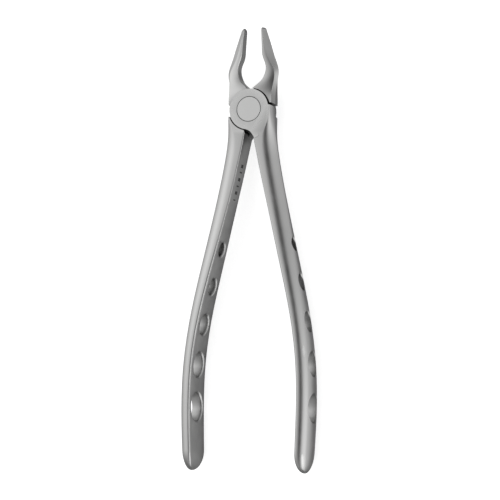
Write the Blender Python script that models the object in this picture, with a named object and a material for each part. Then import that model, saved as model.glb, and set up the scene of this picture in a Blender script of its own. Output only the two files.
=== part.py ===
"""Extraction forceps for upper roots: two forged halves that cross in a lap joint, and the pin they turn on.

The forceps lie flat. X runs across, +Y towards the beaks and +Z out of the front face, in millimetres
until a point is placed. The origin is on the pin's axis, level with the rear face of the joint.
The two halves have the same shape: the rear one is the front one turned half a turn about its length.
"""

import math

import bmesh
import bpy
import numpy as np
from mathutils import Matrix, Vector

MM = 0.001

# Joint
JOINT_THICKNESS = 9.8
MID = JOINT_THICKNESS / 2
LAP_HALF_GAP = 0.15
DISC_RADIUS = 8.05
ARC_GAP = 0.45
SLIT_Y = 1.95
SLIT_HALF = 0.35
STEP_Y = -2.6
RELIEF_TURN = math.radians(-76.5)
RELIEF_X = (-2.0, 1.45)
RELIEF_Y = -9.9
NECK = (
    (-2.4, -7.6),
    (-1.1, -8.0),
    (0.1, -8.5),
    (1.0, -9.25),
    (1.6, -10.05),
    (2.15, -10.9),
    (2.7, -11.6),
    (4.2, -11.0),
    (4.2, -5.5),
)
GRIND_START_Y = -13.0
SIDE_REACH = 20.0
JAW_REACH = 45.0
DISC_STEPS = 60
BEYOND = 2.0

# Pin: a wide head in the front half, a shank in the rear half, its end spread over at the back
HEAD_RADIUS = 4.8
HEAD_HEIGHT = 3.3
SHANK_RADIUS = 3.2
SPREAD_RADIUS = 3.9
SPREAD_HEIGHT = 1.0
PIN_GAP = 0.3
PIN_STEPS = 40

# Handle stations: Y, X of the inner face, thickness, half depth, width of the flat strip on each edge
HANDLE_STATIONS = (
    (1.6, 1.0, 8.1, 5.4, 6.3),
    (-5.0, 1.0, 8.45, 5.2, 5.9),
    (-12.0, 2.1, 8.0, 4.8, 3.4),
    (-22.0, 4.2, 7.4, 4.65, 2.1),
    (-40.0, 8.5, 6.7, 5.0, 1.4),
    (-60.0, 13.5, 6.0, 6.2, 1.05),
    (-80.0, 18.25, 5.35, 7.1, 0.92),
    (-100.0, 21.1, 5.05, 7.7, 0.85),
    (-120.0, 21.45, 5.0, 7.85, 0.83),
    (-136.0, 20.9, 4.75, 7.6, 0.83),
)
HANDLE_TOP_Y = SLIT_Y - SLIT_HALF
END_START_Y = -132.5
END_LENGTH = 7.7
HANDLE_RINGS = 30
END_RINGS = 7
HANDLE_CHAMFER = 0.75
SIDE_TURN = math.radians(75)
CORNER_STEPS = 6
SIDE_STEPS = 3

# Holes through each handle, growing towards its end, each rim broken by a flare
HOLES = ((-54.5, 2.7), (-69.0, 3.3), (-83.8, 4.0), (-99.4, 4.8), (-115.7, 5.5))
FLARE = 0.65
FLARE_DEPTH = 0.8
HOLE_STEPS = 24

# Jaw stations: Y, X and half depth of the inner edge, X and half depth of the side ridge,
# bulge of the face between them, X of the nose
JAW_STATIONS = (
    (2.3, 0.5, 4.15, 8.85, 3.9, 0.0, 9.2),
    (5.0, 0.5, 4.35, 8.9, 3.8, 0.1, 9.3),
    (8.0, 0.8, 4.25, 9.0, 3.2, 0.3, 9.5),
    (9.7, 2.25, 3.6, 9.15, 2.55, 0.4, 9.75),
    (11.3, 3.95, 3.0, 9.3, 2.05, 0.42, 10.05),
    (13.4, 5.1, 2.5, 9.4, 1.65, 0.3, 10.4),
    (16.1, 5.75, 2.25, 8.95, 1.6, 0.12, 10.45),
    (18.4, 5.5, 2.2, 7.75, 1.85, 0.08, 9.85),
    (21.0, 4.55, 2.3, 6.45, 2.15, 0.05, 8.95),
    (25.0, 4.05, 2.35, 5.2, 2.3, 0.02, 7.7),
    (32.0, 3.5, 1.95, 3.95, 2.0, 0.0, 5.4),
)
TIP_LENGTH = 1.4
TIP_RINGS = 4
JAW_RINGS = 24
JAW_CHAMFER = 0.25
FACE_STEPS = 5
NOSE_POWER = 1.95
NOSE_STEPS = 6

STEEL_COLOUR = (0.62, 0.62, 0.61, 1.0)


def natural_spline(places, values):
    """A function through the points that bends as little as a thin strip would."""
    order = np.argsort(places)
    places = np.array(places, float)[order]
    values = np.array(values, float)[order]
    count = len(places)
    spans = np.diff(places)
    slopes = np.diff(values) / spans
    system = np.eye(count)
    right = np.zeros(count)
    for i in range(1, count - 1):
        system[i, i - 1 : i + 2] = spans[i - 1], 2 * (spans[i - 1] + spans[i]), spans[i]
        right[i] = 6 * (slopes[i] - slopes[i - 1])
    bends = np.linalg.solve(system, right)

    def value(place):
        i = int(np.clip(np.searchsorted(places, place) - 1, 0, count - 2))
        span = spans[i]
        to_next = places[i + 1] - place
        from_last = place - places[i]
        cubic = (bends[i] * to_next**3 + bends[i + 1] * from_last**3) / (6 * span)
        start = (values[i] / span - bends[i] * span / 6) * to_next
        end = (values[i + 1] / span - bends[i + 1] * span / 6) * from_last
        return float(cubic + start + end)

    return value


def splines(stations):
    columns = list(zip(*stations))
    return [natural_spline(columns[0], column) for column in columns[1:]]


INNER_X, THICKNESS, HALF_DEPTH, STRIP = splines(HANDLE_STATIONS)
EDGE_X, EDGE_HALF, RIDGE_X, RIDGE_HALF, BULGE, NOSE_X = splines(JAW_STATIONS)


def outward(y):
    """The direction, in plan, that leaves the right handle's inner face at this Y."""
    step = 0.01
    slope = (INNER_X(y + step) - INNER_X(y - step)) / (2 * step)
    return Vector((1.0, -slope, 0.0)).normalized()


def mirrored_loop(upper):
    """A closed section from the points of its upper half, the last of them on the middle plane or not."""
    lower = [(across, -height) for across, height in reversed(upper) if abs(height) > 1e-9]
    return upper + lower


def handle_section(y):
    """Points across the right handle and above the middle plane, before the end is rounded."""
    half = HALF_DEPTH(y)
    strip = STRIP(y)
    thickness = THICKNESS(y)
    sine = math.sin(SIDE_TURN)
    cosine = math.cos(SIDE_TURN)
    lean = (1 - sine) / cosine
    corner = (thickness - strip - half * lean) / (sine - (1 - cosine) * lean)
    side = (half - corner * (1 - cosine)) / cosine
    upper = [(0.0, half - HANDLE_CHAMFER), (HANDLE_CHAMFER, half)]
    for i in range(CORNER_STEPS + 1):
        turn = SIDE_TURN * i / CORNER_STEPS
        upper.append((strip + corner * math.sin(turn), half - corner * (1 - math.cos(turn))))
    for i in range(1, SIDE_STEPS + 1):
        turn = SIDE_TURN + (math.pi / 2 - SIDE_TURN) * i / SIDE_STEPS
        height = 0.0 if i == SIDE_STEPS else side * math.cos(turn)
        upper.append((thickness - side * (1 - math.sin(turn)), height))
    return mirrored_loop(upper)


def handle_ring(y, section_y, shrink):
    normal = outward(section_y)
    start = Vector((INNER_X(section_y), y, MID))
    middle = THICKNESS(section_y) / 2
    ring = []
    for across, height in handle_section(section_y):
        moved = middle + (across - middle) * shrink
        ring.append(start + normal * moved + Vector((0.0, 0.0, height * shrink)))
    return ring


def handle_rings():
    rings = []
    for i in range(HANDLE_RINGS + 1):
        y = HANDLE_TOP_Y + (END_START_Y - HANDLE_TOP_Y) * i / HANDLE_RINGS
        rings.append(handle_ring(y, y, 1.0))
    for i in range(1, END_RINGS + 1):
        turn = math.pi / 2 * i / (END_RINGS + 0.6)
        y = END_START_Y - END_LENGTH * math.sin(turn)
        rings.append(handle_ring(y, y, math.cos(turn)))
    return rings


def jaw_ring(y, section_y, shrink):
    """A section of the left jaw, as seen from the front."""
    edge_x = EDGE_X(section_y)
    edge_half = EDGE_HALF(section_y)
    ridge_x = RIDGE_X(section_y)
    ridge_half = RIDGE_HALF(section_y)
    face_x = edge_x + JAW_CHAMFER
    upper = [(edge_x, edge_half - JAW_CHAMFER)]
    for i in range(FACE_STEPS):
        part = i / FACE_STEPS
        height = edge_half + (ridge_half - edge_half) * part + 4 * BULGE(section_y) * part * (1 - part)
        upper.append((face_x + (ridge_x - face_x) * part, height))
    for i in range(NOSE_STEPS + 1):
        turn = math.pi / 2 * i / NOSE_STEPS
        reach = (NOSE_X(section_y) - ridge_x) * math.sin(turn) ** NOSE_POWER
        height = 0.0 if i == NOSE_STEPS else ridge_half * math.cos(turn) ** NOSE_POWER
        upper.append((ridge_x + reach, height))
    middle = edge_x + JAW_CHAMFER
    ring = []
    for across, height in mirrored_loop(upper):
        moved = middle + (across - middle) * shrink
        ring.append(Vector((-moved, y, MID + height * shrink)))
    return ring


def jaw_rings():
    first = JAW_STATIONS[0][0]
    last = JAW_STATIONS[-1][0]
    rings = []
    for i in range(JAW_RINGS + 1):
        y = first + (last - first) * i / JAW_RINGS
        rings.append(jaw_ring(y, y, 1.0))
    for i in range(1, TIP_RINGS + 1):
        turn = math.pi / 2 * i / (TIP_RINGS + 0.8)
        rings.append(jaw_ring(last + TIP_LENGTH * math.sin(turn), last, math.cos(turn)))
    return rings


def circle(radius, height, steps):
    turns = [math.tau * i / steps for i in range(steps)]
    return [Vector((radius * math.cos(turn), radius * math.sin(turn), height)) for turn in turns]


def turned_rings(profile, steps):
    """Rings of a turned piece about Z, from (radius, height) pairs."""
    return [circle(radius, height, steps) for radius, height in profile]


def plate_rings(corners, low, high):
    return [[Vector((x, y, height)) for x, y in corners] for height in (low, high)]


def arc(radius, start, end, steps):
    turns = [start + (end - start) * i / steps for i in range(steps + 1)]
    return [(radius * math.cos(turn), radius * math.sin(turn)) for turn in turns]


def pocket_outline():
    """The room for the other half's disc and for what carries it: its jaw's foot and its handle's shoulder."""
    radius = DISC_RADIUS + ARC_GAP
    step_turn = math.asin(STEP_Y / radius)
    slit_turn = math.asin(SLIT_Y / radius)
    relief_end = math.tau - math.acos(RELIEF_X[0] / radius)
    lower_right = arc(radius, RELIEF_TURN, step_turn, DISC_STEPS // 6)
    side = [(SIDE_REACH, STEP_Y), (SIDE_REACH, SLIT_Y)]
    around = arc(radius, slit_turn, relief_end, DISC_STEPS * 2 // 3)
    relief = [(RELIEF_X[0], RELIEF_Y), (RELIEF_X[1], RELIEF_Y)]
    return lower_right + side + around + relief


def ground_plane(name, low, high, place):
    """A cutter that leaves the joint's face flat, on the front or on the rear."""
    corners = (
        (-SIDE_REACH, GRIND_START_Y),
        (SIDE_REACH, GRIND_START_Y),
        (SIDE_REACH, JAW_REACH),
        (-SIDE_REACH, JAW_REACH),
    )
    return helper(name, plate_rings(corners, low, high), place)


def loft(name, rings, place):
    """A closed solid through rings of equal length, its ends filled, moved by the matrix place."""
    shape = bmesh.new()
    rows = [[shape.verts.new((place @ point) * MM) for point in ring] for ring in rings]
    count = len(rows[0])
    for row, following in zip(rows, rows[1:]):
        for i in range(count):
            j = (i + 1) % count
            shape.faces.new((row[i], row[j], following[j], following[i]))
    shape.faces.new(rows[0])
    shape.faces.new(rows[-1])
    bmesh.ops.recalc_face_normals(shape, faces=shape.faces[:])
    mesh = bpy.data.meshes.new(name)
    shape.to_mesh(mesh)
    shape.free()
    mesh.shade_smooth()
    mesh.set_sharp_from_angle(angle=math.radians(30))
    piece = bpy.data.objects.new(name, mesh)
    bpy.context.scene.collection.objects.link(piece)
    return piece


def helper(name, rings, place):
    piece = loft(name, rings, place)
    piece.hide_render = True
    piece.display_type = "WIRE"
    return piece


def combine(piece, other, operation):
    change = piece.modifiers.new(other.name, "BOOLEAN")
    change.operation = operation
    change.solver = "EXACT"
    change.object = other


def steel(name, roughness):
    material = bpy.data.materials.new(name)
    material.use_nodes = True
    shader = material.node_tree.nodes["Principled BSDF"]
    shader.inputs["Base Color"].default_value = STEEL_COLOUR
    shader.inputs["Metallic"].default_value = 1.0
    shader.inputs["Roughness"].default_value = roughness
    return material


def pin_profile(gap):
    """The pin's radii and heights, or with a gap those of the bores around it, run out past both faces."""
    ledge = JOINT_THICKNESS - HEAD_HEIGHT - gap
    profile = [
        (SPREAD_RADIUS + gap, 0.0),
        (SHANK_RADIUS + gap, SPREAD_HEIGHT),
        (SHANK_RADIUS + gap, ledge),
        (HEAD_RADIUS + gap, ledge),
        (HEAD_RADIUS + gap, JOINT_THICKNESS),
    ]
    if gap:
        profile.insert(0, (SPREAD_RADIUS + gap, -BEYOND))
        profile.append((HEAD_RADIUS + gap, JOINT_THICKNESS + BEYOND))
    return profile


def hole_rings(y, radius):
    """A cutter across the right handle, wider where it leaves the inner and the outer face."""
    thickness = THICKNESS(y)
    profile = (
        (radius + FLARE, -BEYOND),
        (radius + FLARE, 0.0),
        (radius, FLARE_DEPTH),
        (radius, thickness - FLARE_DEPTH),
        (radius + FLARE, thickness),
        (radius + FLARE, thickness + BEYOND),
    )
    normal = outward(y)
    along = normal.cross(Vector((0.0, 0.0, 1.0)))
    frame = Matrix((along, Vector((0.0, 0.0, 1.0)), normal)).transposed().to_4x4()
    frame.translation = Vector((INNER_X(y), y, MID))
    return [[frame @ point for point in ring] for ring in turned_rings(profile, HOLE_STEPS)]


def forged_half(name, place):
    """One half: handle, jaw and disc in one piece, cut back where the other half's disc turns."""
    half = loft(name, handle_rings(), place)
    jaw = helper(name + "_jaw", jaw_rings(), place)
    lap = MID + LAP_HALF_GAP
    disc_profile = ((DISC_RADIUS, lap - BEYOND), (DISC_RADIUS, JOINT_THICKNESS + BEYOND))
    disc = helper(name + "_disc", turned_rings(disc_profile, DISC_STEPS), place)
    neck = helper(name + "_neck", plate_rings(NECK, lap, JOINT_THICKNESS + BEYOND), place)
    pocket = helper(name + "_pocket", plate_rings(pocket_outline(), -2 * BEYOND, lap), place)
    front = ground_plane(name + "_front", JOINT_THICKNESS, JOINT_THICKNESS + 2 * BEYOND, place)
    rear = ground_plane(name + "_rear", -2 * BEYOND, 0.0, place)
    combine(half, jaw, "UNION")
    combine(half, disc, "UNION")
    combine(half, neck, "UNION")
    for cutter in (pocket, front, rear):
        combine(half, cutter, "DIFFERENCE")
    for number, (y, radius) in enumerate(HOLES, start=1):
        hole = helper(f"{name}_hole_{number}", hole_rings(y, radius), place)
        combine(half, hole, "DIFFERENCE")
    half.data.materials.append(steel(name + "_steel", 0.38))
    return half


def build():
    for leftover in list(bpy.data.objects):
        bpy.data.objects.remove(leftover)
    upright = Matrix.Identity(4)
    turned_over = Matrix.Translation((0.0, 0.0, JOINT_THICKNESS)) @ Matrix.Diagonal((-1.0, 1.0, -1.0, 1.0))
    front_half = forged_half("front_half", upright)
    rear_half = forged_half("rear_half", turned_over)
    pin = loft("pivot_pin", turned_rings(pin_profile(0.0), PIN_STEPS), upright)
    pin.data.materials.append(steel("pivot_pin_steel", 0.34))
    bore = helper("pin_bore", turned_rings(pin_profile(PIN_GAP), PIN_STEPS), upright)
    combine(front_half, bore, "DIFFERENCE")
    combine(rear_half, bore, "DIFFERENCE")


build()
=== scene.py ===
"""Looks of the extraction forceps: the two forged halves and the pin at full smoothness, in satin steel.

The halves have the CAD's shape, from the same stations, with finer sections, broken edges and surface marks.
Sizes are in millimetres until a point is placed.
"""

import math

import bmesh
import bpy
import numpy as np
from mathutils import Matrix, Vector


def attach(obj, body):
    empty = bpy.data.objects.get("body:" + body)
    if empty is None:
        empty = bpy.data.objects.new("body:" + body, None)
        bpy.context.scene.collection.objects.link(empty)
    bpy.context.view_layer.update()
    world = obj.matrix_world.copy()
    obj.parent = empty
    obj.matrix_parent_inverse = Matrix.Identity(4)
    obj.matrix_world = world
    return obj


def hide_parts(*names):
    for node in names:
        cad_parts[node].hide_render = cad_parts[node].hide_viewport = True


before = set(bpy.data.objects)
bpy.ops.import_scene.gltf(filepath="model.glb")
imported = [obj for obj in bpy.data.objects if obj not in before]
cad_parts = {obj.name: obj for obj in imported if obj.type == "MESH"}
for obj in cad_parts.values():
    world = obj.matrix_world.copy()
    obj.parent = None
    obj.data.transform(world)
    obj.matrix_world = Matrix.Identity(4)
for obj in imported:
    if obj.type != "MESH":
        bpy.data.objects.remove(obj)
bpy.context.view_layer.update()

MM = 0.001

# Joint: its faces are ground flat from GRIND_START_Y to past the tips, and cutters run out by BEYOND
JOINT_THICKNESS = 9.8
MID = JOINT_THICKNESS / 2
LAP_HALF_GAP = 0.03
DISC_RADIUS = 8.05
ARC_GAP = 0.45
SLIT_Y = 1.95
SLIT_HALF = 0.35
STEP_Y = -2.6
RELIEF_TURN = math.radians(-76.5)
RELIEF_X = (-2.0, 1.45)
RELIEF_Y = -9.9
NECK = (
    (-2.4, -7.6),
    (-1.1, -8.0),
    (0.1, -8.5),
    (1.0, -9.25),
    (1.6, -10.05),
    (2.15, -10.9),
    (2.7, -11.6),
    (4.2, -11.0),
    (4.2, -5.5),
)
GRIND_START_Y = -13.0
SIDE_REACH = 20.0
JAW_REACH = 45.0
DISC_STEPS = 192
BEYOND = 2.0
EDGE_BREAK = 0.12

# Pin: a wide head in the front half, a shank in the rear half, its end spread over at the back
HEAD_RADIUS = 4.8
HEAD_HEIGHT = 3.3
SHANK_RADIUS = 3.2
SPREAD_RADIUS = 3.9
SPREAD_HEIGHT = 1.0
PIN_GAP = 0.22
PIN_STEPS = 128

# Handle stations: Y, X of the inner face, thickness, half depth, width of the flat strip on each edge
HANDLE_STATIONS = (
    (1.6, 1.0, 8.1, 5.4, 6.3),
    (-5.0, 1.0, 8.45, 5.2, 5.9),
    (-12.0, 2.1, 8.0, 4.8, 3.4),
    (-22.0, 4.2, 7.4, 4.65, 2.1),
    (-40.0, 8.5, 6.7, 5.0, 1.4),
    (-60.0, 13.5, 6.0, 6.2, 1.05),
    (-80.0, 18.25, 5.35, 7.1, 0.92),
    (-100.0, 21.1, 5.05, 7.7, 0.85),
    (-120.0, 21.45, 5.0, 7.85, 0.83),
    (-136.0, 20.9, 4.75, 7.6, 0.83),
)
HANDLE_TOP_Y = SLIT_Y - SLIT_HALF
END_START_Y = -132.5
END_LENGTH = 7.7
HANDLE_RINGS = 110
END_RINGS = 20
END_BLUNTNESS = 0.6
HANDLE_ROUND = (0.6, 0.8)
HANDLE_ROUND_Y = (-42.0, -64.0)
ROUND_STEPS = 8
SIDE_TURN = math.radians(75)
CORNER_STEPS = 18
SIDE_STEPS = 8

# Holes through each handle, growing towards its end, their rims rounded: Y and radius
HOLES = ((-54.5, 2.7), (-69.0, 3.3), (-83.8, 4.0), (-99.4, 4.8), (-115.7, 5.5))
FLARE = 0.65
FLARE_DEPTH = 0.8
FLARE_STEPS = 6
HOLE_STEPS = 96

# Jaw stations: Y, X and half depth of the inner edge, X and half depth of the side ridge,
# bulge of the face between them, X of the nose
JAW_STATIONS = (
    (2.3, 0.5, 4.15, 8.85, 3.9, 0.0, 9.2),
    (5.0, 0.5, 4.35, 8.9, 3.8, 0.1, 9.3),
    (8.0, 0.8, 4.25, 9.0, 3.2, 0.3, 9.5),
    (9.7, 2.25, 3.6, 9.15, 2.75, 0.35, 9.75),
    (11.3, 3.95, 3.0, 9.3, 2.3, 0.35, 10.05),
    (13.4, 5.1, 2.5, 9.4, 1.95, 0.25, 10.45),
    (16.1, 5.75, 2.25, 8.95, 1.85, 0.1, 10.5),
    (18.4, 5.5, 2.2, 7.75, 1.95, 0.06, 9.9),
    (21.0, 4.55, 2.3, 6.45, 2.15, 0.05, 8.95),
    (25.0, 4.05, 2.35, 5.2, 2.3, 0.02, 7.7),
    (32.0, 3.5, 1.95, 3.95, 2.0, 0.0, 5.4),
)
TIP_LENGTH = 1.4
TIP_RINGS = 10
TIP_BLUNTNESS = 0.8
JAW_RINGS = 100
JAW_CHAMFER = 0.25
FACE_STEPS = 14
NOSE_POWER = 1.95
NOSE_STEPS = 14
SMOOTH_ANGLE = math.radians(24)

# Camera: turned about the part's length, from the rest pose's front, and moved off the pin's axis
VIEW_YAW = 20.47
VIEW_PITCH = -6.17
VIEW_ROLL = -0.84
VIEW_DISTANCE = 578.7
VIEW_ASIDE = 1.17
VIEW_ABOVE = 54.53
LENS = 106.0
SENSOR = 36.0
NEAREST = 0.01
FARTHEST = 20.0

# Marks etched on the inner face of the rear half's handle: Y and length
MARKS = ((-21.8, 1.3), (-24.2, 0.5), (-27.0, 1.3), (-29.6, 0.5), (-32.2, 1.3), (-35.0, 0.5))
MARK_HALF_HEIGHT = 1.1
MARK_DEPTH = 0.2
MARK_LIFT = 0.015
MARK_TONE = (0.02, 0.07)
MARK_DETAIL = 2.0
MARK_METALLIC = 0.4
MARK_ROUGHNESS = 0.6

# Steel: clouds and grain are noise, whose values stay within NOISE_RANGE, and EDGE_BEND is where a
# convex edge starts and ends in the surface's pointiness
STEEL = (0.5, 0.5, 0.496)
ROUGHNESS = 0.34
ROUGHNESS_SWING = 0.04
TONE_SWING = 0.03
CLOUD_SCALE = 160.0
CLOUD_DETAIL = 5.0
GRAIN_SCALE = 5200.0
GRAIN_DETAIL = 3.0
GRAIN_STRENGTH = 0.25
GRAIN_DEPTH = 0.02
NOISE_RANGE = (0.3, 0.7)
EDGE_BEND = (0.51, 0.60)
# Convex edges: roughness lowered by this much as wear, and colour brightened by this much as a painted
# highlight
EDGE_WEAR_AND_HIGHLIGHT = 0.12
EDGE_SAMPLES = 4
# Painted shade: the colour is darkened in crevices, slits and holes that ambient occlusion finds within this
# reach in mm, down to the level below
CREVICE_SHADE_REACH = 5.0
CREVICE_SHADE_OPENNESS = (0.15, 0.9)
CREVICE_SHADE_LEVEL = 0.12
CREVICE_SHADE_SAMPLES = 6

# Studio: direction from overhead towards +X in degrees, and how bright it is there
STUDIO = (
    (-180.0, 0.38),
    (-160.0, 0.36),
    (-138.0, 0.4),
    (-110.0, 0.54),
    (-85.0, 0.84),
    (-58.0, 1.12),
    (-38.0, 1.08),
    (-20.0, 0.84),
    (-6.0, 0.7),
    (8.0, 0.12),
    (29.0, 0.05),
    (42.0, 0.55),
    (55.0, 1.1),
    (75.0, 1.28),
    (95.0, 1.3),
    (115.0, 1.12),
    (135.0, 0.9),
    (154.0, 0.22),
    (170.0, 0.1),
    (179.9, 0.38),
)
# The same along the part: sine of the direction's angle towards the beaks, and the factor
STUDIO_LENGTHWISE = (
    (-0.98, 0.7),
    (-0.3, 0.92),
    (0.1, 1.0),
    (0.3, 1.08),
    (0.45, 0.95),
    (0.6, 0.78),
    (0.75, 0.7),
    (0.98, 0.6),
)
STUDIO_CORNER_LOSS = 1.1
FLOOR_HALF = 3.0
FLOOR_BELOW = 0.05
FLOOR_TONE = 0.9
FLOOR_ROUGHNESS = 0.9
FLOOR_GLOW = 0.72
BACKDROP = 0.93


def natural_spline(places, values):
    """A function through the points that bends as little as a thin strip would."""
    order = np.argsort(places)
    places = np.array(places, float)[order]
    values = np.array(values, float)[order]
    count = len(places)
    spans = np.diff(places)
    slopes = np.diff(values) / spans
    system = np.eye(count)
    right = np.zeros(count)
    for i in range(1, count - 1):
        system[i, i - 1 : i + 2] = spans[i - 1], 2 * (spans[i - 1] + spans[i]), spans[i]
        right[i] = 6 * (slopes[i] - slopes[i - 1])
    bends = np.linalg.solve(system, right)

    def value(place):
        i = int(np.clip(np.searchsorted(places, place) - 1, 0, count - 2))
        span = spans[i]
        to_next = places[i + 1] - place
        from_last = place - places[i]
        cubic = (bends[i] * to_next**3 + bends[i + 1] * from_last**3) / (6 * span)
        start = (values[i] / span - bends[i] * span / 6) * to_next
        end = (values[i + 1] / span - bends[i + 1] * span / 6) * from_last
        return float(cubic + start + end)

    return value


def splines(stations):
    columns = list(zip(*stations))
    return [natural_spline(columns[0], column) for column in columns[1:]]


INNER_X, THICKNESS, HALF_DEPTH, STRIP = splines(HANDLE_STATIONS)
EDGE_X, EDGE_HALF, RIDGE_X, RIDGE_HALF, BULGE, NOSE_X = splines(JAW_STATIONS)


def outward(y):
    """The direction, in plan, that leaves the right handle's inner face at this Y."""
    step = 0.01
    slope = (INNER_X(y + step) - INNER_X(y - step)) / (2 * step)
    return Vector((1.0, -slope, 0.0)).normalized()


def mirrored_loop(upper):
    """A closed section from the points of its upper half, the last of them on the middle plane or not."""
    lower = [(across, -height) for across, height in reversed(upper) if abs(height) > 1e-9]
    return upper + lower


def edge_round(y):
    """Radius of the inner edges' rounding: small near the joint, larger where the hand closes."""
    start, end = HANDLE_ROUND_Y
    part = min(max((y - start) / (end - start), 0.0), 1.0)
    part = part * part * (3.0 - 2.0 * part)
    return HANDLE_ROUND[0] + (HANDLE_ROUND[1] - HANDLE_ROUND[0]) * part


def handle_section(y):
    """Points across the right handle: inner edge, flat strip, round corner, then a gently crowned side."""
    half = HALF_DEPTH(y)
    rounding = edge_round(y)
    strip = STRIP(y)
    thickness = THICKNESS(y)
    sine = math.sin(SIDE_TURN)
    cosine = math.cos(SIDE_TURN)
    lean = (1 - sine) / cosine
    corner = (thickness - strip - half * lean) / (sine - (1 - cosine) * lean)
    side = (half - corner * (1 - cosine)) / cosine
    upper = []
    for i in range(ROUND_STEPS + 1):
        turn = math.pi / 2 * i / ROUND_STEPS
        inset = rounding * (1 - math.sin(turn))
        upper.append((rounding * (1 - math.cos(turn)), half - inset))
    for i in range(CORNER_STEPS + 1):
        turn = SIDE_TURN * i / CORNER_STEPS
        upper.append((strip + corner * math.sin(turn), half - corner * (1 - math.cos(turn))))
    for i in range(1, SIDE_STEPS + 1):
        turn = SIDE_TURN + (math.pi / 2 - SIDE_TURN) * i / SIDE_STEPS
        height = 0.0 if i == SIDE_STEPS else side * math.cos(turn)
        upper.append((thickness - side * (1 - math.sin(turn)), height))
    return mirrored_loop(upper)


def handle_ring(y, section_y, shrink):
    normal = outward(section_y)
    start = Vector((INNER_X(section_y), y, MID))
    middle = THICKNESS(section_y) / 2
    ring = []
    for across, height in handle_section(section_y):
        moved = middle + (across - middle) * shrink
        ring.append(start + normal * moved + Vector((0.0, 0.0, height * shrink)))
    return ring


def handle_rings():
    rings = []
    for i in range(HANDLE_RINGS + 1):
        y = HANDLE_TOP_Y + (END_START_Y - HANDLE_TOP_Y) * i / HANDLE_RINGS
        rings.append(handle_ring(y, y, 1.0))
    for i in range(1, END_RINGS + 1):
        turn = math.pi / 2 * i / (END_RINGS + END_BLUNTNESS)
        y = END_START_Y - END_LENGTH * math.sin(turn)
        rings.append(handle_ring(y, y, math.cos(turn)))
    return rings


def jaw_ring(y, section_y, shrink):
    """A section of the left jaw, as seen from the front."""
    edge_x = EDGE_X(section_y)
    edge_half = EDGE_HALF(section_y)
    ridge_x = RIDGE_X(section_y)
    ridge_half = RIDGE_HALF(section_y)
    face_x = edge_x + JAW_CHAMFER
    upper = [(edge_x, edge_half - JAW_CHAMFER)]
    for i in range(FACE_STEPS):
        part = i / FACE_STEPS
        height = edge_half + (ridge_half - edge_half) * part + 4 * BULGE(section_y) * part * (1 - part)
        upper.append((face_x + (ridge_x - face_x) * part, height))
    for i in range(NOSE_STEPS + 1):
        turn = math.pi / 2 * i / NOSE_STEPS
        reach = (NOSE_X(section_y) - ridge_x) * math.sin(turn) ** NOSE_POWER
        height = 0.0 if i == NOSE_STEPS else ridge_half * math.cos(turn) ** NOSE_POWER
        upper.append((ridge_x + reach, height))
    middle = edge_x + JAW_CHAMFER
    ring = []
    for across, height in mirrored_loop(upper):
        moved = middle + (across - middle) * shrink
        ring.append(Vector((-moved, y, MID + height * shrink)))
    return ring


def jaw_rings():
    first = JAW_STATIONS[0][0]
    last = JAW_STATIONS[-1][0]
    rings = []
    for i in range(JAW_RINGS + 1):
        y = first + (last - first) * i / JAW_RINGS
        rings.append(jaw_ring(y, y, 1.0))
    for i in range(1, TIP_RINGS + 1):
        turn = math.pi / 2 * i / (TIP_RINGS + TIP_BLUNTNESS)
        rings.append(jaw_ring(last + TIP_LENGTH * math.sin(turn), last, math.cos(turn)))
    return rings


def circle(radius, height, steps):
    turns = [math.tau * i / steps for i in range(steps)]
    return [Vector((radius * math.cos(turn), radius * math.sin(turn), height)) for turn in turns]


def turned_rings(profile, steps):
    """Rings of a turned piece about Z, from (radius, height) pairs."""
    return [circle(radius, height, steps) for radius, height in profile]


def plate_rings(corners, low, high):
    return [[Vector((x, y, height)) for x, y in corners] for height in (low, high)]


def arc(radius, start, end, steps):
    turns = [start + (end - start) * i / steps for i in range(steps + 1)]
    return [(radius * math.cos(turn), radius * math.sin(turn)) for turn in turns]


def pocket_outline(radius):
    """The room for the other half's disc and for what carries it."""
    step_turn = math.asin(STEP_Y / radius)
    slit_turn = math.asin(SLIT_Y / radius)
    relief_end = math.tau - math.acos(RELIEF_X[0] / radius)
    lower_right = arc(radius, RELIEF_TURN, step_turn, DISC_STEPS // 6)
    side = [(SIDE_REACH, STEP_Y), (SIDE_REACH, SLIT_Y)]
    around = arc(radius, slit_turn, relief_end, DISC_STEPS * 2 // 3)
    relief = [(RELIEF_X[0], RELIEF_Y), (RELIEF_X[1], RELIEF_Y)]
    return lower_right + side + around + relief


def ground_plane(name, low, high, place):
    """A cutter that leaves the joint's face flat, on the front or on the rear."""
    corners = (
        (-SIDE_REACH, GRIND_START_Y),
        (SIDE_REACH, GRIND_START_Y),
        (SIDE_REACH, JAW_REACH),
        (-SIDE_REACH, JAW_REACH),
    )
    return loft(name, plate_rings(corners, low, high), place)


def loft(name, rings, place):
    """A closed solid through rings of equal length, its ends filled, moved by the matrix place."""
    shape = bmesh.new()
    rows = [[shape.verts.new((place @ point) * MM) for point in ring] for ring in rings]
    count = len(rows[0])
    for row, following in zip(rows, rows[1:]):
        for i in range(count):
            j = (i + 1) % count
            shape.faces.new((row[i], row[j], following[j], following[i]))
    shape.faces.new(rows[0])
    shape.faces.new(rows[-1])
    bmesh.ops.recalc_face_normals(shape, faces=shape.faces[:])
    mesh = bpy.data.meshes.new(name)
    shape.to_mesh(mesh)
    shape.free()
    piece = bpy.data.objects.new(name, mesh)
    bpy.context.scene.collection.objects.link(piece)
    return piece


def combine(piece, other, operation):
    change = piece.modifiers.new(other.name, "BOOLEAN")
    change.operation = operation
    change.solver = "EXACT"
    change.object = other


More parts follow.
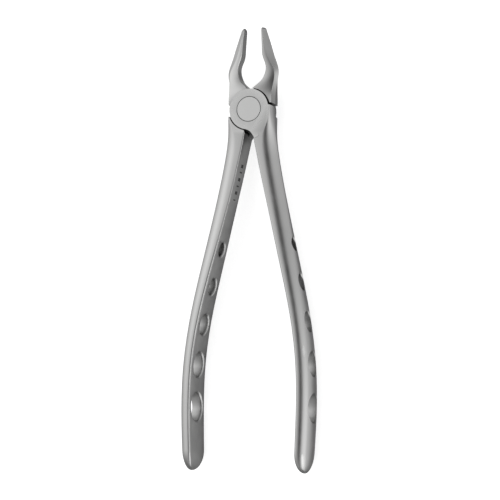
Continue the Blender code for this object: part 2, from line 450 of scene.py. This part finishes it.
def settle(piece, helpers):
    """Makes the modifiers' result the piece's own mesh and removes what it was cut with."""
    bpy.context.view_layer.update()
    graph = bpy.context.evaluated_depsgraph_get()
    mesh = bpy.data.meshes.new_from_object(piece.evaluated_get(graph))
    piece.modifiers.clear()
    piece.data = mesh
    for helper in helpers:
        bpy.data.objects.remove(helper)
    mesh.shade_smooth()
    mesh.set_sharp_from_angle(angle=SMOOTH_ANGLE)


def pin_profile(gap):
    """The pin's radii and heights, or with a gap those of the bores around it, run out past both faces."""
    ledge = JOINT_THICKNESS - HEAD_HEIGHT - gap
    profile = [
        (SPREAD_RADIUS + gap, 0.0),
        (SHANK_RADIUS + gap, SPREAD_HEIGHT),
        (SHANK_RADIUS + gap, ledge),
        (HEAD_RADIUS + gap, ledge),
        (HEAD_RADIUS + gap, JOINT_THICKNESS),
    ]
    if gap:
        profile.insert(0, (SPREAD_RADIUS + gap, -BEYOND))
        profile.append((HEAD_RADIUS + gap, JOINT_THICKNESS + BEYOND))
    return profile


def hole_rings(y, radius):
    """A cutter across the right handle whose rims open in quarter rounds on both faces."""
    thickness = THICKNESS(y)
    rim = []
    for i in range(FLARE_STEPS + 1):
        turn = math.pi / 2 * i / FLARE_STEPS
        rim.append((radius + FLARE * (1 - math.sin(turn)), FLARE_DEPTH * (1 - math.cos(turn))))
    profile = [(radius + FLARE, -BEYOND)] + rim
    profile += [(wide, thickness - depth) for wide, depth in reversed(rim)]
    profile.append((radius + FLARE, thickness + BEYOND))
    normal = outward(y)
    along = normal.cross(Vector((0.0, 0.0, 1.0)))
    axes = Matrix((along, Vector((0.0, 0.0, 1.0)), normal)).transposed().to_4x4()
    axes.translation = Vector((INNER_X(y), y, MID))
    return [[axes @ point for point in ring] for ring in turned_rings(profile, HOLE_STEPS)]


def forged_half(name, place):
    """One half: handle, jaw and disc in one piece, cut back where the other half's disc turns."""
    half = loft(name, handle_rings(), place)
    lap = MID + LAP_HALF_GAP
    disc_profile = ((DISC_RADIUS, lap - BEYOND), (DISC_RADIUS, JOINT_THICKNESS + BEYOND))
    jaw = loft(name + "_jaw", jaw_rings(), place)
    disc = loft(name + "_disc", turned_rings(disc_profile, DISC_STEPS), place)
    neck = loft(name + "_neck", plate_rings(NECK, lap, JOINT_THICKNESS + BEYOND), place)
    outline = pocket_outline(DISC_RADIUS + ARC_GAP)
    pocket = loft(name + "_pocket", plate_rings(outline, -2 * BEYOND, lap), place)
    front = ground_plane(name + "_front", JOINT_THICKNESS, JOINT_THICKNESS + 2 * BEYOND, place)
    rear = ground_plane(name + "_rear", -2 * BEYOND, 0.0, place)
    combine(half, jaw, "UNION")
    combine(half, disc, "UNION")
    combine(half, neck, "UNION")
    cutters = [pocket, front, rear]
    for number, (y, radius) in enumerate(HOLES, start=1):
        cutters.append(loft(f"{name}_hole_{number}", hole_rings(y, radius), place))
    bore = loft(name + "_bore", turned_rings(pin_profile(PIN_GAP), PIN_STEPS), Matrix.Identity(4))
    cutters.append(bore)
    for cutter in cutters:
        combine(half, cutter, "DIFFERENCE")
    settle(half, [jaw, disc, neck] + cutters)
    return half


def noise(tree, place, scale, detail):
    node = tree.nodes.new("ShaderNodeTexNoise")
    node.inputs["Scale"].default_value = scale
    node.inputs["Detail"].default_value = detail
    tree.links.new(place, node.inputs["Vector"])
    return node.outputs["Fac"]


def spread(tree, source, before, after):
    """The source's values moved from one range to another and held at its ends."""
    node = tree.nodes.new("ShaderNodeMapRange")
    node.inputs["From Min"].default_value, node.inputs["From Max"].default_value = before
    node.inputs["To Min"].default_value, node.inputs["To Max"].default_value = after
    tree.links.new(source, node.inputs["Value"])
    return node.outputs["Result"]


def reckon(tree, operation, *values):
    """A sum or product of sockets and plain numbers."""
    node = tree.nodes.new("ShaderNodeMath")
    node.operation = operation
    for number, value in enumerate(values):
        if isinstance(value, bpy.types.NodeSocket):
            tree.links.new(value, node.inputs[number])
        else:
            node.inputs[number].default_value = value
    return node.outputs["Value"]


def satin_steel():
    """Fine-blasted steel: a soft sheen that wanders a little, a fine grain, edges glossier from wear and
    brightened in colour as a painted highlight, and painted shade darkening its crevices.
    """
    material = bpy.data.materials.new("satin_steel")
    material.use_nodes = True
    tree = material.node_tree
    shader = tree.nodes["Principled BSDF"]
    shader.inputs["Base Color"].default_value = (*STEEL, 1.0)
    shader.inputs["Metallic"].default_value = 1.0

    place = tree.nodes.new("ShaderNodeTexCoord").outputs["Object"]
    cloud = noise(tree, place, CLOUD_SCALE, CLOUD_DETAIL)
    grain = noise(tree, place, GRAIN_SCALE, GRAIN_DETAIL)
    form = tree.nodes.new("ShaderNodeNewGeometry")
    edge = spread(tree, form.outputs["Pointiness"], EDGE_BEND, (0.0, 1.0))

    sheen = spread(tree, cloud, NOISE_RANGE, (ROUGHNESS - ROUGHNESS_SWING, ROUGHNESS + ROUGHNESS_SWING))
    # Roughness lowered along convex edges, as wear
    tree.links.new(reckon(tree, "MULTIPLY_ADD", edge, -EDGE_WEAR_AND_HIGHLIGHT, sheen), shader.inputs["Roughness"])

    tone = spread(tree, cloud, NOISE_RANGE, (1.0 - TONE_SWING, 1.0 + TONE_SWING))
    # Colour: a random tone, brightened along convex edges as a painted highlight
    tone_and_edge_highlight = reckon(tree, "MULTIPLY_ADD", edge, EDGE_WEAR_AND_HIGHLIGHT, tone)
    # Painted shade: ambient occlusion darkens the colour in crevices, slits and holes
    crevice_occlusion = tree.nodes.new("ShaderNodeAmbientOcclusion")
    crevice_occlusion.samples = CREVICE_SHADE_SAMPLES
    crevice_occlusion.inputs["Distance"].default_value = CREVICE_SHADE_REACH * MM
    painted_crevice_shade = spread(tree, crevice_occlusion.outputs["AO"], CREVICE_SHADE_OPENNESS, (CREVICE_SHADE_LEVEL, 1.0))
    paint = tree.nodes.new("ShaderNodeVectorMath")
    paint.operation = "SCALE"
    paint.inputs[0].default_value = STEEL
    tree.links.new(reckon(tree, "MULTIPLY", tone_and_edge_highlight, painted_crevice_shade), paint.inputs["Scale"])
    tree.links.new(paint.outputs["Vector"], shader.inputs["Base Color"])

    soft = tree.nodes.new("ShaderNodeBevel")
    soft.samples = EDGE_SAMPLES
    soft.inputs["Radius"].default_value = EDGE_BREAK * MM
    bump = tree.nodes.new("ShaderNodeBump")
    bump.inputs["Strength"].default_value = GRAIN_STRENGTH
    bump.inputs["Distance"].default_value = GRAIN_DEPTH * MM
    tree.links.new(grain, bump.inputs["Height"])
    tree.links.new(soft.outputs["Normal"], bump.inputs["Normal"])
    tree.links.new(bump.outputs["Normal"], shader.inputs["Normal"])
    return material


def etched_dark():
    material = bpy.data.materials.new("etched_dark")
    material.use_nodes = True
    tree = material.node_tree
    shader = tree.nodes["Principled BSDF"]
    place = tree.nodes.new("ShaderNodeTexCoord").outputs["Object"]
    speckle = noise(tree, place, GRAIN_SCALE, MARK_DETAIL)
    tree.links.new(spread(tree, speckle, (0.0, 1.0), MARK_TONE), shader.inputs["Base Color"])
    shader.inputs["Metallic"].default_value = MARK_METALLIC
    shader.inputs["Roughness"].default_value = MARK_ROUGHNESS
    return material


def etched_marks(place):
    """Short plain bars etched in a column on the handle's inner face, lying along its length."""
    shape = bmesh.new()
    for y, length in MARKS:
        normal = outward(y)
        along = normal.cross(Vector((0.0, 0.0, 1.0)))
        middle = Vector((INNER_X(y), y, MID))
        corners = []
        for deep in (MARK_DEPTH, -MARK_LIFT):
            for side, up in ((-1, -1), (1, -1), (1, 1), (-1, 1)):
                height = Vector((0.0, 0.0, up * MARK_HALF_HEIGHT))
                point = middle + normal * deep + along * (side * length / 2) + height
                corners.append(shape.verts.new((place @ point) * MM))
        shape.faces.new(corners[:4])
        shape.faces.new(corners[4:])
        for i in range(4):
            j = (i + 1) % 4
            shape.faces.new((corners[i], corners[j], corners[4 + j], corners[4 + i]))
    bmesh.ops.recalc_face_normals(shape, faces=shape.faces[:])
    mesh = bpy.data.meshes.new("handle_marks")
    shape.to_mesh(mesh)
    shape.free()
    piece = bpy.data.objects.new("handle_marks", mesh)
    bpy.context.scene.collection.objects.link(piece)
    return piece


def brightness_ramp(tree, source, steps):
    """The brightness at the source's value, eased between the steps' (position, level)."""
    ramp = tree.nodes.new("ShaderNodeValToRGB")
    ramp.color_ramp.interpolation = "EASE"
    stops = ramp.color_ramp.elements
    stops.remove(stops[-1])
    for number, (position, level) in enumerate(steps):
        stop = stops[0] if number == 0 else stops.new(position)
        stop.position = position
        stop.color = (level, level, level, 1.0)
    tree.links.new(source, ramp.inputs["Fac"])
    return ramp.outputs["Color"]


def white_floor():
    height = (MID - max(station[3] for station in HANDLE_STATIONS) - FLOOR_BELOW) * MM
    corners = [(x * FLOOR_HALF, y * FLOOR_HALF, height) for x, y in ((-1, -1), (1, -1), (1, 1), (-1, 1))]
    mesh = bpy.data.meshes.new("floor")
    mesh.from_pydata(corners, [], [(0, 1, 2, 3)])
    floor = bpy.data.objects.new("floor", mesh)
    bpy.context.scene.collection.objects.link(floor)
    material = bpy.data.materials.new("white_floor")
    material.use_nodes = True
    shader = material.node_tree.nodes["Principled BSDF"]
    shader.inputs["Base Color"].default_value = (FLOOR_TONE, FLOOR_TONE, FLOOR_TONE, 1.0)
    shader.inputs["Roughness"].default_value = FLOOR_ROUGHNESS
    shader.inputs["Specular IOR Level"].default_value = 0.0
    shader.inputs["Emission Color"].default_value = (1.0, 1.0, 1.0, 1.0)
    shader.inputs["Emission Strength"].default_value = FLOOR_GLOW
    mesh.materials.append(material)
    floor.visible_glossy = False


def studio_light():
    """A plain white backdrop for the camera, and a soft studio of uneven brightness for the steel."""
    world = bpy.data.worlds.new("studio")
    world.use_nodes = True
    bpy.context.scene.world = world
    tree = world.node_tree
    studio = tree.nodes["Background"]
    place = tree.nodes.new("ShaderNodeTexCoord").outputs["Generated"]
    parts = tree.nodes.new("ShaderNodeSeparateXYZ")
    tree.links.new(place, parts.inputs["Vector"])
    across = parts.outputs["X"]
    along = parts.outputs["Y"]

    tilt = reckon(tree, "ARCTAN2", across, parts.outputs["Z"])
    share = spread(tree, tilt, (-math.pi, math.pi), (0.0, 1.0))
    around = brightness_ramp(tree, share, [((angle + 180.0) / 360.0, level) for angle, level in STUDIO])
    tree.links.new(around, studio.inputs["Color"])

    share = spread(tree, along, (-1.0, 1.0), (0.0, 1.0))
    steps = [((sine + 1.0) / 2.0, level) for sine, level in STUDIO_LENGTHWISE]
    lengthwise = brightness_ramp(tree, share, steps)
    corner = reckon(tree, "MULTIPLY", across, along)
    kept = reckon(tree, "MULTIPLY_ADD", corner, -STUDIO_CORNER_LOSS, 1.0)
    tree.links.new(reckon(tree, "MULTIPLY", lengthwise, kept), studio.inputs["Strength"])

    plain = tree.nodes.new("ShaderNodeBackground")
    plain.inputs["Color"].default_value = (BACKDROP, BACKDROP, BACKDROP, 1.0)
    either = tree.nodes.new("ShaderNodeMixShader")
    seen = tree.nodes.new("ShaderNodeLightPath")
    tree.links.new(seen.outputs["Is Camera Ray"], either.inputs["Fac"])
    tree.links.new(studio.outputs["Background"], either.inputs[1])
    tree.links.new(plain.outputs["Background"], either.inputs[2])
    tree.links.new(either.outputs["Shader"], tree.nodes["World Output"].inputs["Surface"])
    bpy.context.scene.view_settings.view_transform = "Standard"


def place_camera():
    yaw = math.radians(VIEW_YAW)
    pitch = math.radians(VIEW_PITCH)
    roll = math.radians(VIEW_ROLL)
    back = Vector((math.sin(yaw) * math.cos(pitch), math.sin(pitch), math.cos(yaw) * math.cos(pitch)))
    level = Vector((math.cos(yaw), 0.0, -math.sin(yaw)))
    up = back.cross(level)
    right = level * math.cos(roll) - up * math.sin(roll)
    top = up * math.cos(roll) + level * math.sin(roll)
    place = back * VIEW_DISTANCE - right * VIEW_ASIDE - top * VIEW_ABOVE + Vector((0.0, 0.0, MID))
    lens = bpy.data.cameras.new("camera")
    lens.lens = LENS
    lens.sensor_width = SENSOR
    lens.clip_start = NEAREST
    lens.clip_end = FARTHEST
    camera = bpy.data.objects.new("camera", lens)
    bpy.context.scene.collection.objects.link(camera)
    camera.matrix_world = Matrix((right, top, back)).transposed().to_4x4()
    camera.location = place * MM
    bpy.context.scene.camera = camera


upright = Matrix.Identity(4)
turned_over = Matrix.Translation((0.0, 0.0, JOINT_THICKNESS)) @ Matrix.Diagonal((-1.0, 1.0, -1.0, 1.0))
place_camera()
white_floor()
studio_light()
steel = satin_steel()
for node, body, place in (("front_half", "front", upright), ("rear_half", "rear", turned_over)):
    half = forged_half(node + "_forging", place)
    half.data.materials.append(steel)
    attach(half, body)
    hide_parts(node)
pin = loft("pivot_pin_turned", turned_rings(pin_profile(0.0), PIN_STEPS), upright)
pin.data.shade_smooth()
pin.data.set_sharp_from_angle(angle=SMOOTH_ANGLE)
pin.data.materials.append(steel)
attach(pin, "rear")
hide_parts("pivot_pin")
marks = etched_marks(turned_over)
marks.data.materials.append(etched_dark())
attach(marks, "rear")
